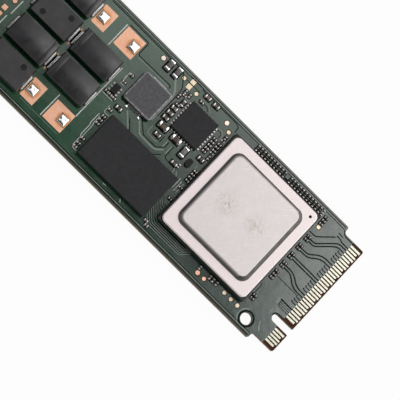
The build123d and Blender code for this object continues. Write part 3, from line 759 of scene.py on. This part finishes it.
def floor_finish():
    """White paper that takes a shadow, and that the camera and mirrors see as nearly pure white."""
    shader = Shader("floor_finish", 0.9)
    shader.bsdf.inputs["Base Color"].default_value = (FLOOR_GREY, FLOOR_GREY, FLOOR_GREY, 1.0)
    glow = shader.add("ShaderNodeEmission")
    glow.inputs["Strength"].default_value = 1.0
    rays = shader.add("ShaderNodeLightPath").outputs
    mirrored = shader.combine("MAXIMUM", rays["Is Glossy Ray"], rays["Is Transmission Ray"])
    seen = shader.combine("MAXIMUM", rays["Is Camera Ray"], mirrored)
    share = shader.add("ShaderNodeMath", operation="MULTIPLY")
    share.inputs[1].default_value = FLOOR_WHITE
    blend = shader.add("ShaderNodeMixShader")
    shader.link(seen, share.inputs[0])
    shader.link(share.outputs[0], blend.inputs["Fac"])
    shader.link(shader.bsdf.outputs["BSDF"], blend.inputs[1])
    shader.link(glow.outputs["Emission"], blend.inputs[2])
    shader.link(blend.outputs["Shader"], shader.tree.nodes["Material Output"].inputs["Surface"])
    return shader.material


# Looks with a slot's name are the look of that slot. Grained ones: dark and light tone, size of their drift,
# roughness, metallic, grain, depth, and specular where it isn't the usual value.
GRAINED = {
    "bare_copper": ((0.98, 0.52, 0.33), (1.0, 0.62, 0.44), 0.5, 0.48, 0.6, 0.08, 0.003),
    "bead": ((0.86, 0.86, 0.86), (0.97, 0.97, 0.97), 0.25, 0.26, 0.8, 0.15, 0.003),
    "black_mold": ((0.005, 0.006, 0.006), (0.009, 0.010, 0.010), 0.6, 0.5, 0.0, 0.06, 0.006, 0.3),
    "chip_mold": ((0.014, 0.014, 0.016), (0.022, 0.022, 0.025), 0.8, 0.58, 0.0, 0.06, 0.008, 0.35),
    "chip_tin": ((0.58, 0.56, 0.54), (0.78, 0.76, 0.74), 0.25, 0.36, 1.0, 0.2, 0.004),
    "contact": ((0.68, 0.665, 0.54), (0.78, 0.76, 0.64), 0.8, 0.36, 1.0, 0.08, 0.002),
    "dark_ceramic": ((0.022, 0.020, 0.019), (0.052, 0.046, 0.043), 0.4, 0.45, 0.0, 0.1, 0.004),
    # Solder painted dark as the shade between the large capacitors.
    "shade_painted_solder": ((0.12, 0.115, 0.11), (0.22, 0.21, 0.20), 0.3, 0.32, 1.0, 0.3, 0.008),
    # Dark lines: the gaps in the copper, and painted shade on shaded copper edges, beside chips and round the
    # tooling hole.
    "gap_and_shade_track": ((0.004, 0.009, 0.006), (0.007, 0.014, 0.009), 2.0, 0.6, 0.0, 0.1, 0.002, 0.1),
    # Tin painted darker as shade, for terminals and leads that sit in shade.
    "shade_darkened_tin": ((0.34, 0.33, 0.32), (0.52, 0.51, 0.50), 0.25, 0.34, 1.0, 0.2, 0.004),
    "etched_gap": ((0.022, 0.009, 0.004), (0.036, 0.015, 0.007), 0.3, 0.6, 0.0, 0.1, 0.002, 0.1),
    "fillet": ((0.68, 0.68, 0.68), (0.82, 0.81, 0.81), 0.3, 0.26, 1.0, 0.3, 0.008),
    "flux": ((0.66, 0.30, 0.13), (0.82, 0.42, 0.22), 0.4, 0.35, 0.6, 0.1, 0.003),
    "ink": ((0.62, 0.63, 0.61), (0.82, 0.82, 0.80), 0.3, 0.6, 0.0, 0.02, 0.004),
    # Pale lines: copper under the mask with a painted highlight, and the painted glint at the tooling hole.
    "track_and_painted_highlight": ((0.20, 0.24, 0.21), (0.30, 0.34, 0.305), 1.0, 0.35, 0.0, 0.1, 0.002),
    # Mask openings, painted near-black as shadow round the chips.
    "opening_shadow": ((0.005, 0.006, 0.005), (0.009, 0.010, 0.008), 0.5, 0.6, 0.0, 0.1, 0.002, 0.2),
    "package_substrate": ((0.005, 0.008, 0.006), (0.008, 0.013, 0.009), 2.0, 0.5, 0.0, 0.02, 0.004),
    "silicon": ((0.10, 0.10, 0.12), (0.14, 0.14, 0.16), 2.0, 0.25, 0.6, 0.02, 0.004),
    "solder": ((0.84, 0.84, 0.85), (0.94, 0.94, 0.94), 0.3, 0.16, 1.0, 0.4, 0.006),
    "thermal_paste": ((0.45, 0.45, 0.46), (0.58, 0.58, 0.58), 1.0, 0.6, 0.0, 0.02, 0.004),
    "tinned_metal": ((0.70, 0.69, 0.68), (0.84, 0.83, 0.81), 0.4, 0.24, 1.0, 0.3, 0.004),
}

# Moulded looks: dark, light and edge tone, size of their drift, roughness, grain, depth, turn, rise. The edge
# tone is a painted highlight, and the sides get painted shade.
MOULDED = {
    "capacitor_mold": (
        (0.022, 0.021, 0.023), (0.040, 0.039, 0.042), (0.08, 0.078, 0.082), 1.8, 0.32, 0.8, 0.010, 0.7, 1.2,
    ),
    "inductor_mold": (
        (0.056, 0.055, 0.063), (0.096, 0.094, 0.104), (0.48, 0.47, 0.50), 0.5, 0.5, 0.1, 0.010, 0.35, 0.0,
    ),
    "flat_mold": (
        (0.030, 0.029, 0.031), (0.046, 0.045, 0.048), (0.06, 0.058, 0.06), 1.6, 0.5, 0.06, 0.008, 0.5, 0.0,
    ),
}

LOOKS = {name: grained(name + "_finish", *values) for name, values in GRAINED.items()}
LOOKS |= {name: edged_finish(name + "_finish", *values) for name, values in MOULDED.items()}
LOOKS |= {
    "chip_ceramic": ceramic_finish(),
    "gold_plating": pad_finish(
        "gold_finish", 0.34,
        plated=((0.78, 0.64, 0.45), (0.84, 0.72, 0.56)),
        bare=((0.98, 0.52, 0.34), (1.0, 0.64, 0.46)),
        rough=(0.30, 0.42), grain=0.1, strength=0.4,
    ),
    "laminate": laminate_finish(),
    "land": land_finish(),
    "large_ceramic": large_ceramic_finish(),
    "lid_metal": lid_finish(),
    "solder_mask": mask_finish(),
    "pale_copper": pad_finish(
        "pale_copper_finish", 0.44,
        plated=((0.92, 0.79, 0.665), (0.96, 0.88, 0.785)),
        bare=((0.92, 0.50, 0.34), (0.98, 0.62, 0.46)),
        rough=(0.38, 0.5), grain=0.08, strength=0.5,
    ),
    "rim": rim_finish(),
    "row_cap": row_cap_finish(),
}

# CAD nodes whose look isn't named after their slot.
NODE_LOOKS = {
    "capacitor_lands": "land",
    "controller_row_chip_bodies": "dark_ceramic",
    "controller_row_chip_end_caps": "row_cap",
    "copper_test_pads": "pale_copper",
    "edge_contacts_bottom": "contact",
    "edge_contacts_top": "contact",
    # These terminals and leads get the tin painted darker as shade.
    "inductor_terminals": "shade_darkened_tin",
    "lane_capacitor_end_caps": "shade_darkened_tin",
    "load_switch_body": "black_mold",
    "load_switch_leads": "shade_darkened_tin",
    "medium_chip_end_caps": "chip_tin",
    "power_capacitor_bodies": "large_ceramic",
    "power_chip_leads": "chip_tin",
    "round_chip": "black_mold",
    "small_chip_end_caps": "chip_tin",
    # The fillets between the large capacitors get the solder painted dark as shade.
    "tantalum_solder_fillets": "shade_painted_solder",
}
NODE_LOOKS |= {f"tantalum_{number}_terminals": "chip_tin" for number in TANTALUMS}
NODE_LOOKS |= {f"tantalum_{number}_body": "flat_mold" for number in FLAT_TANTALUMS}

# How wide the edges of a CAD node are rounded.
BEVELS = {
    "controller_lid": 0.12,
    "controller_substrate": 0.04,
    "dram_mold": 0.06,
    "flash_1_mold": 0.08,
    "flash_2_mold": 0.08,
    "inductor_body": 0.10,
    "load_switch_body": 0.05,
    "power_chip_mold": 0.06,
}
BEVELS |= {f"{kind}_bodies": sizes[2] for kind, sizes in CHIP_KINDS.items()}
BEVELS |= {f"{kind}_end_caps": sizes[3] for kind, sizes in CHIP_KINDS.items()}
BEVELS |= {f"tantalum_{number}_body": 0.07 for number in TANTALUMS if number not in FLAT_TANTALUMS}
BEVELS |= {f"tantalum_{number}_terminals": 0.03 for number in TANTALUMS}


def soften(piece, width):
    """Rounds the edges of a piece with modifiers alone."""
    weld = piece.modifiers.new("weld", "WELD")
    weld.merge_threshold = WELD_METRES
    flatten = piece.modifiers.new("flatten", "DECIMATE")
    flatten.decimate_type = "DISSOLVE"
    flatten.angle_limit = math.radians(FLAT_DEGREES)
    bevel = piece.modifiers.new("bevel", "BEVEL")
    bevel.width = width * MM
    bevel.segments = BEVEL_SEGMENTS
    bevel.limit_method = "ANGLE"
    bevel.angle_limit = math.radians(BEVEL_DEGREES)
    bevel.harden_normals = False
    piece.modifiers.new("normals", "WEIGHTED_NORMAL")


def dress_nodes():
    """Gives each CAD node the finish for its slot, and its rounded edges."""
    for part in frame["record"]["subparts"]:
        name = part["node"]
        piece = nodes[name]
        slot = part["material_slot"]
        piece.data.materials.clear()
        piece.data.materials.append(LOOKS[NODE_LOOKS.get(name, slot)])
        if name in BEVELS:
            soften(piece, BEVELS[name])


def stub_lines():
    """Short hooked ends of the tracks that dive under the contact fingers."""
    lines = []
    for y in STUB_YS:
        hook = [(STUB_X + along, y + across) for along, across in STUB_HOOK]
        lines.append((STUB_WIDTH, STUB_RADIUS, hook + [(MASK_END_X, y)]))
    return lines


def fan_lines(shift):
    """Tracks that spread from the memory chip and pass beside or under the controller."""
    lines = []
    for y, row in zip(FAN_START_YS, FAN_ROW_YS):
        start = (FAN_START_X, y + shift)
        if row is None:
            drop = start[1] - (FAN_DIVE_X - FAN_START_X) + FAN_DIVE_RUN
            route = [start, (FAN_DIVE_X - FAN_DIVE_RUN, drop), (FAN_DIVE_X, drop)]
        else:
            level = row + shift
            turn = FAN_START_X + y - row
            rise = level + FAN_END_X - FAN_TURN_X
            route = [start, (turn, level), (FAN_TURN_X, level), (FAN_END_X, rise)]
        lines.append((FAN_WIDTH, FAN_RADIUS, route))
    return lines


def rim_lines(name):
    """A straight line along both long edges of the board."""
    width, y = RIM_LINES[name]
    return [(width, 0.0, [(RIM_X[0], side * y), (RIM_X[1], side * y)]) for side in (-1, 1)]


def ring_piece(name, ring, look):
    """A flat arc round the tooling hole."""
    radius, width, first, last = ring
    x, y = HOLE_PLACE
    angles = [math.radians(first + (last - first) * step / ARC_STEPS) for step in range(ARC_STEPS + 1)]
    arc = [Vector((x + radius * math.cos(a), y + radius * math.sin(a))) for a in angles]
    mesh = bmesh.new()
    add_ribbon(mesh, arc, width, MASK_TOP, INK_HEIGHT)
    finish_piece(name, mesh, look)


def land_strips():
    """Bare copper that shows between the two columns of large capacitors."""
    left, right = LAND_STRIP_X
    middle = (left + right) / 2
    near, far = LAND_STRIP_SPAN
    lines = []
    for y in LAND_STRIP_YS:
        for side in (-1, 1):
            lines.append((right - left, 0.0, [(middle, y + side * near), (middle, y + side * far)]))
    lines_piece("capacitor_land_strips", lines, "flux", INK_HEIGHT)


def contact_gaps():
    """Bare laminate in the etched gap beside each contact finger."""
    mesh = bmesh.new()
    fingers = sorted(islands(nodes["edge_contacts_top"]), key=lambda box: box[0].y)
    for (low, high), (next_low, _) in zip(fingers, fingers[1:]):
        if next_low.y - high.y < CONTACT_GAP:
            middle = (high.y + next_low.y) / 2
            line = [Vector((low.x + CONTACT_GAP_INSET, middle)), Vector((high.x, middle))]
            add_ribbon(mesh, line, CONTACT_GAP, MASK_TOP - CONTACT_GAP_SINK, CONTACT_GAP_HEIGHT)
    finish_piece("contact_gaps", mesh, "etched_gap")


def draw_board():
    """Everything flat on the board: tracks with painted shade and painted highlights, rims, printed marks,
    bare strips, and the painted shadow and glint round the tooling hole.
    """
    dark = GAP_AND_SHADE_LINES + stub_lines() + fan_lines(FAN_GAP_SHIFT) + rim_lines("gap") + rim_lines("inner_gap")
    light = TRACK_AND_HIGHLIGHT_LINES + fan_lines(0.0) + rim_lines("edge")
    lines_piece("copper_gap_and_shade_lines", dark, "gap_and_shade_track", RIDGE_HEIGHT)
    lines_piece("track_and_highlight_lines", light, "track_and_painted_highlight", RIDGE_HEIGHT)
    lines_piece("bare_rims", rim_lines("rim"), "rim", INK_HEIGHT)
    lines_piece("printed_marks", INK_LINES, "ink", INK_HEIGHT)
    # The painted shadow ring and the painted glint round the tooling hole.
    ring_piece("hole_shade_ring", HOLE_SHADE_RING, "gap_and_shade_track")
    ring_piece("hole_glint", HOLE_GLINT, "track_and_painted_highlight")
    land_strips()
    contact_gaps()


def add_skirt(mesh, low, high, reach):
    """A concave solder fillet round the foot of an end cap."""
    height = high.z - MASK_TOP
    curve = [(reach, SKIRT_LIP)]
    curve += [(out * reach, lift * height) for out, lift in SKIRT_CURVE]
    curve.append((SKIRT_GAP, SKIRT_TOP * height))
    add_stack(mesh, [(box_outline(low, high, out), MASK_TOP + lift) for out, lift in curve])


def solder_skirts(kind, reach):
    """The solder round the end caps of a kind of chip."""
    mesh = bmesh.new()
    for low, high in islands(nodes[kind + "_end_caps"]):
        add_skirt(mesh, low, high, reach)
    finish_piece(kind + "_solder_skirts", mesh, "fillet", True)


def chip_boxes(kind, margin):
    """The outline round each chip of a kind, from its body and its two nearest end caps."""
    caps = islands(nodes[kind + "_end_caps"])
    boxes = []
    for low, high in islands(nodes[kind + "_bodies"]):
        middle = (low + high) / 2
        near = sorted(caps, key=lambda cap: ((cap[0] + cap[1]) / 2 - middle).length)[:2]
        xs = [low.x, high.x] + [p.x for cap in near for p in cap]
        ys = [low.y, high.y] + [p.y for cap in near for p in cap]
        boxes.append((min(xs) - margin, max(xs) + margin, min(ys) - margin, max(ys) + margin))
    return boxes


def shadowed_mask_openings(kind, margin):
    """The bare board in the mask opening round each chip, painted near-black as the chip's shadow."""
    mesh = bmesh.new()
    cut = OPENING_CUT * margin
    for left, right, front, back in chip_boxes(kind, margin):
        outline = [(left + cut, front), (right - cut, front), (right, front + cut), (right, back - cut)]
        outline += [(right - cut, back), (left + cut, back), (left, back - cut), (left, front + cut)]
        add_stack(mesh, [(outline, MASK_TOP - SINK), (outline, MASK_TOP + OPENING_HEIGHT)])
    finish_piece(kind + "_shadowed_mask_openings", mesh, "opening_shadow")


def loose_chips():
    """Chips in the dense stretches and the lower row beside the controller."""
    bodies = bmesh.new()
    caps = bmesh.new()
    length, width, height = LOOSE_CHIP
    top = MASK_TOP + height
    end = length / 2
    joint = end - LOOSE_CAP
    spans = [(-end, -joint, caps, 0.0), (-joint, joint, bodies, LOOSE_INSET), (joint, end, caps, 0.0)]
    for x, y, along in LOOSE_CHIPS:
        for first, last, mesh, shrink in spans:
            half = width / 2 - shrink
            low = (x + first, y - half) if along else (x - half, y + first)
            high = (x + last, y + half) if along else (x + half, y + last)
            add_block(mesh, (*low, MASK_TOP + shrink), (*high, top - shrink))
    front, middle, back = LOWER_ROW_YS
    inner = width / 2 - LOOSE_INSET
    for x in LOWER_ROW_XS:
        add_block(caps, (x - width / 2, front, MASK_TOP), (x + width / 2, middle, top))
        add_block(bodies, (x - inner, middle, MASK_TOP + LOOSE_INSET), (x + inner, back, top - LOOSE_INSET))
    soften(finish_piece("loose_chip_bodies", bodies, "dark_ceramic"), LOOSE_BODY_BEVEL)
    soften(finish_piece("loose_chip_end_caps", caps, "chip_tin"), LOOSE_CAP_BEVEL)


def lead_solder():
    """A bright toe of solder at the end of each lead on three sides of the power chip."""
    mesh = bmesh.new()
    low, high = (Vector(corner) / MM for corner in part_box("power_chip_mold"))
    for first, second in islands(nodes["power_chip_leads"]):
        x, y, _ = (first + second) / 2
        if first.x < low.x:
            line = [(first.x - TOE_OUT, y), (low.x - TOE_GAP, y)]
        elif second.x > high.x:
            line = [(high.x + TOE_GAP, y), (second.x + TOE_OUT, y)]
        elif first.y < low.y:
            line = [(x, first.y - TOE_OUT), (x, low.y - TOE_GAP)]
        else:
            continue
        add_ribbon(mesh, [Vector(spot) for spot in line], TOE_WIDTH, MASK_TOP, TOE_HEIGHT)
    finish_piece("power_chip_lead_solder", mesh, "chip_tin")


def add_pillow(mesh, x, y, half, height, pinch, base):
    """A solder pillow that has pulled in between the corners of a square, with a slumped side."""
    slump_u, slump_v = SLUMP_PLACE
    grid = []
    for row in range(PILLOW_STEPS + 1):
        v = 2 * row / PILLOW_STEPS - 1
        line = []
        for column in range(PILLOW_STEPS + 1):
            u = 2 * column / PILLOW_STEPS - 1
            px = x + half * u * (1 - pinch * (1 - v * v))
            py = y + half * v * (1 - pinch * (1 - u * u))
            swell = math.sqrt((1 - u ** PILLOW_POWER) * (1 - v ** PILLOW_POWER))
            away = (u - slump_u) ** 2 + (v - slump_v) ** 2
            slump = SLUMP_DEPTH * math.exp(-away / SLUMP_SPREAD)
            ripple = RIPPLE_HEIGHT * math.sin(5 * u + 2 * v + x) * math.cos(4 * v - u + y)
            lift = height * swell * (PILLOW_FILL - slump + ripple - PILLOW_TILT * (u + v))
            line.append(mesh.verts.new((px * MM, py * MM, (base + lift) * MM)))
        grid.append(line)
    for lower, upper in zip(grid, grid[1:]):
        for index in range(PILLOW_STEPS):
            mesh.faces.new((lower[index], lower[index + 1], upper[index + 1], upper[index]))
    right = [line[-1] for line in grid[1:]]
    left = [line[0] for line in grid[-2:0:-1]]
    rim = grid[0] + right + grid[-1][-2::-1] + left
    mesh.faces.new(rim[::-1])


def land_pillows():
    """Solder left on the bare lands, each in a stain of flux."""
    solder = bmesh.new()
    flux = bmesh.new()
    for low, high in islands(nodes["land_solder"]):
        x, y, _ = (low + high) / 2
        half = (high.x - low.x) / 2
        add_pillow(solder, x, y, half, high.z - low.z, LAND_PINCH, MASK_TOP + LAND_LIFT)
        add_pillow(flux, x, y, half * FLUX_SHARE, FLUX_HEIGHT, LAND_PINCH, MASK_TOP + FLUX_LIFT)
    piece = finish_piece("land_solder_pillows", solder, "solder", True)
    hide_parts("land_solder")
    finish_piece("land_flux_stains", flux, "flux", True)


def inductor_solder():
    """Solder that shows at the ends of the near terminal of the inductor."""
    mesh = bmesh.new()
    low, high = min(islands(nodes["inductor_terminals"]), key=lambda box: box[0].y)
    for x in (low.x, high.x):
        add_pillow(mesh, x, low.y - TERMINAL_SOLDER_OUT, *TERMINAL_SOLDER, MASK_TOP + FLUX_LIFT)
    finish_piece("inductor_solder", mesh, "solder", True)


def ejector_marks():
    """The dark floor of each round mark that the mould's ejector pins left."""
    mesh = bmesh.new()
    for number in FLAT_TANTALUMS:
        low, high = (Vector(corner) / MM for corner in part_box(f"tantalum_{number}_body"))
        middle = (low + high) / 2
        floor = high.z - EJECTOR_DEPTH
        for side in (-1, 1):
            x = middle.x + side * EJECTOR_ALONG
            y = middle.y + side * EJECTOR_ACROSS
            add_disc(mesh, x, y, EJECTOR_RADIUS, floor - SINK, floor + EJECTOR_FLOOR)
    finish_piece("capacitor_ejector_marks", mesh, "black_mold")


def fillet_beads():
    """The bright bead of solder along each end strip of the large capacitors."""
    mesh = bmesh.new()
    feet = []
    for number in TANTALUMS:
        for box in islands(nodes[f"tantalum_{number}_terminals"]):
            feet += [spot.x for spot in box]
    left, right = LAND_STRIP_X
    for low, high in islands(nodes["tantalum_solder_fillets"]):
        at_foot = min(abs(x - low.x) for x in feet) < BEAD_MATCH
        x = low.x + BEAD_OUT if at_foot else high.x - BEAD_OUT
        line = [Vector((x, low.y + BEAD_INSET)), Vector((x, high.y - BEAD_INSET))]
        between = left - BEAD_NEAR < x < right + BEAD_NEAR
        width = BEAD_WIDTH if between else THIN_BEAD_WIDTH
        add_ribbon(mesh, line, width, MASK_TOP + BEAD_RISE, BEAD_HEIGHT)
    finish_piece("capacitor_solder_beads", mesh, "bead")


def solder_chips():
    """Everything raised that the CAD nodes don't have: solder, mask openings painted dark as shadow, and
    small chips.
    """
    for kind, (reach, _, _, _) in CHIP_KINDS.items():
        solder_skirts(kind, reach)
    for kind, (_, margin, _, _) in CHIP_KINDS.items():
        shadowed_mask_openings(kind, margin)
    loose_chips()
    lead_solder()
    land_pillows()
    inductor_solder()
    ejector_marks()
    fillet_beads()


def place_camera():
    """A long lens at the photograph's place."""
    camera = bpy.data.cameras.new("camera")
    camera.sensor_width = CAMERA_SENSOR
    camera.lens = CAMERA_LENS
    camera.clip_start, camera.clip_end = CAMERA_CLIP_METRES
    viewer = bpy.data.objects.new("camera", camera)
    bpy.context.scene.collection.objects.link(viewer)
    right = Vector(CAMERA_RIGHT).normalized()
    ahead = Vector(CAMERA_AHEAD).normalized()
    right = (right - ahead * right.dot(ahead)).normalized()
    up = right.cross(ahead)
    turn = Matrix((right, up, -ahead)).transposed().to_4x4()
    viewer.matrix_world = Matrix.Translation(Vector(CAMERA_PLACE) * MM) @ turn
    bpy.context.scene.camera = viewer


def softbox(name, place, target, width, height, radiance):
    """A rectangular lamp that faces a target."""
    light = bpy.data.lights.new(name, "AREA")
    light.shape = "RECTANGLE"
    light.size = width
    light.size_y = height
    light.energy = radiance * math.pi * width * height
    lamp = bpy.data.objects.new(name, light)
    bpy.context.scene.collection.objects.link(lamp)
    lamp.location = place
    lamp.rotation_euler = (Vector(target) - Vector(place)).to_track_quat("-Z", "Y").to_euler()


def light_scene():
    """Two panels overhead, a large lamp at the side and a soft band round the horizon."""
    for name, (left, right, front, back, radiance) in CEILING_LAMPS.items():
        x = (left + right) / 2
        y = (front + back) / 2
        softbox(name, (x, y, CEILING_HEIGHT), (x, y, 0.0), right - left, back - front, radiance)
    place, width, height, radiance = SIDE_LAMP
    softbox("side", place, (0.0, 0.0, 0.0), width, height, radiance)
    world = bpy.data.worlds.new("studio")
    bpy.context.scene.world = world
    world.use_nodes = True
    tree = world.node_tree
    coords = tree.nodes.new("ShaderNodeTexCoord")
    split = tree.nodes.new("ShaderNodeSeparateXYZ")
    fade = tree.nodes.new("ShaderNodeValToRGB")
    for element, (upward, brightness) in zip(fade.color_ramp.elements, (HORIZON, ZENITH)):
        element.position = upward
        element.color = (brightness, brightness, brightness, 1.0)
    tree.links.new(coords.outputs["Generated"], split.inputs["Vector"])
    tree.links.new(split.outputs["Z"], fade.inputs["Fac"])
    tree.links.new(fade.outputs["Color"], tree.nodes["Background"].inputs["Color"])


def lay_floor():
    """A flat white floor that keeps a faint shadow."""
    mesh = bmesh.new()
    bmesh.ops.create_grid(mesh, x_segments=1, y_segments=1, size=FLOOR_REACH)
    data = bpy.data.meshes.new("floor")
    mesh.to_mesh(data)
    mesh.free()
    floor = bpy.data.objects.new("floor", data)
    bpy.context.scene.collection.objects.link(floor)
    floor.location.z = -FLOOR_DROP * MM
    data.materials.append(floor_finish())


dress_nodes()
draw_board()
solder_chips()
place_camera()
light_scene()
lay_floor()
bpy.context.scene.view_settings.view_transform = "Standard"
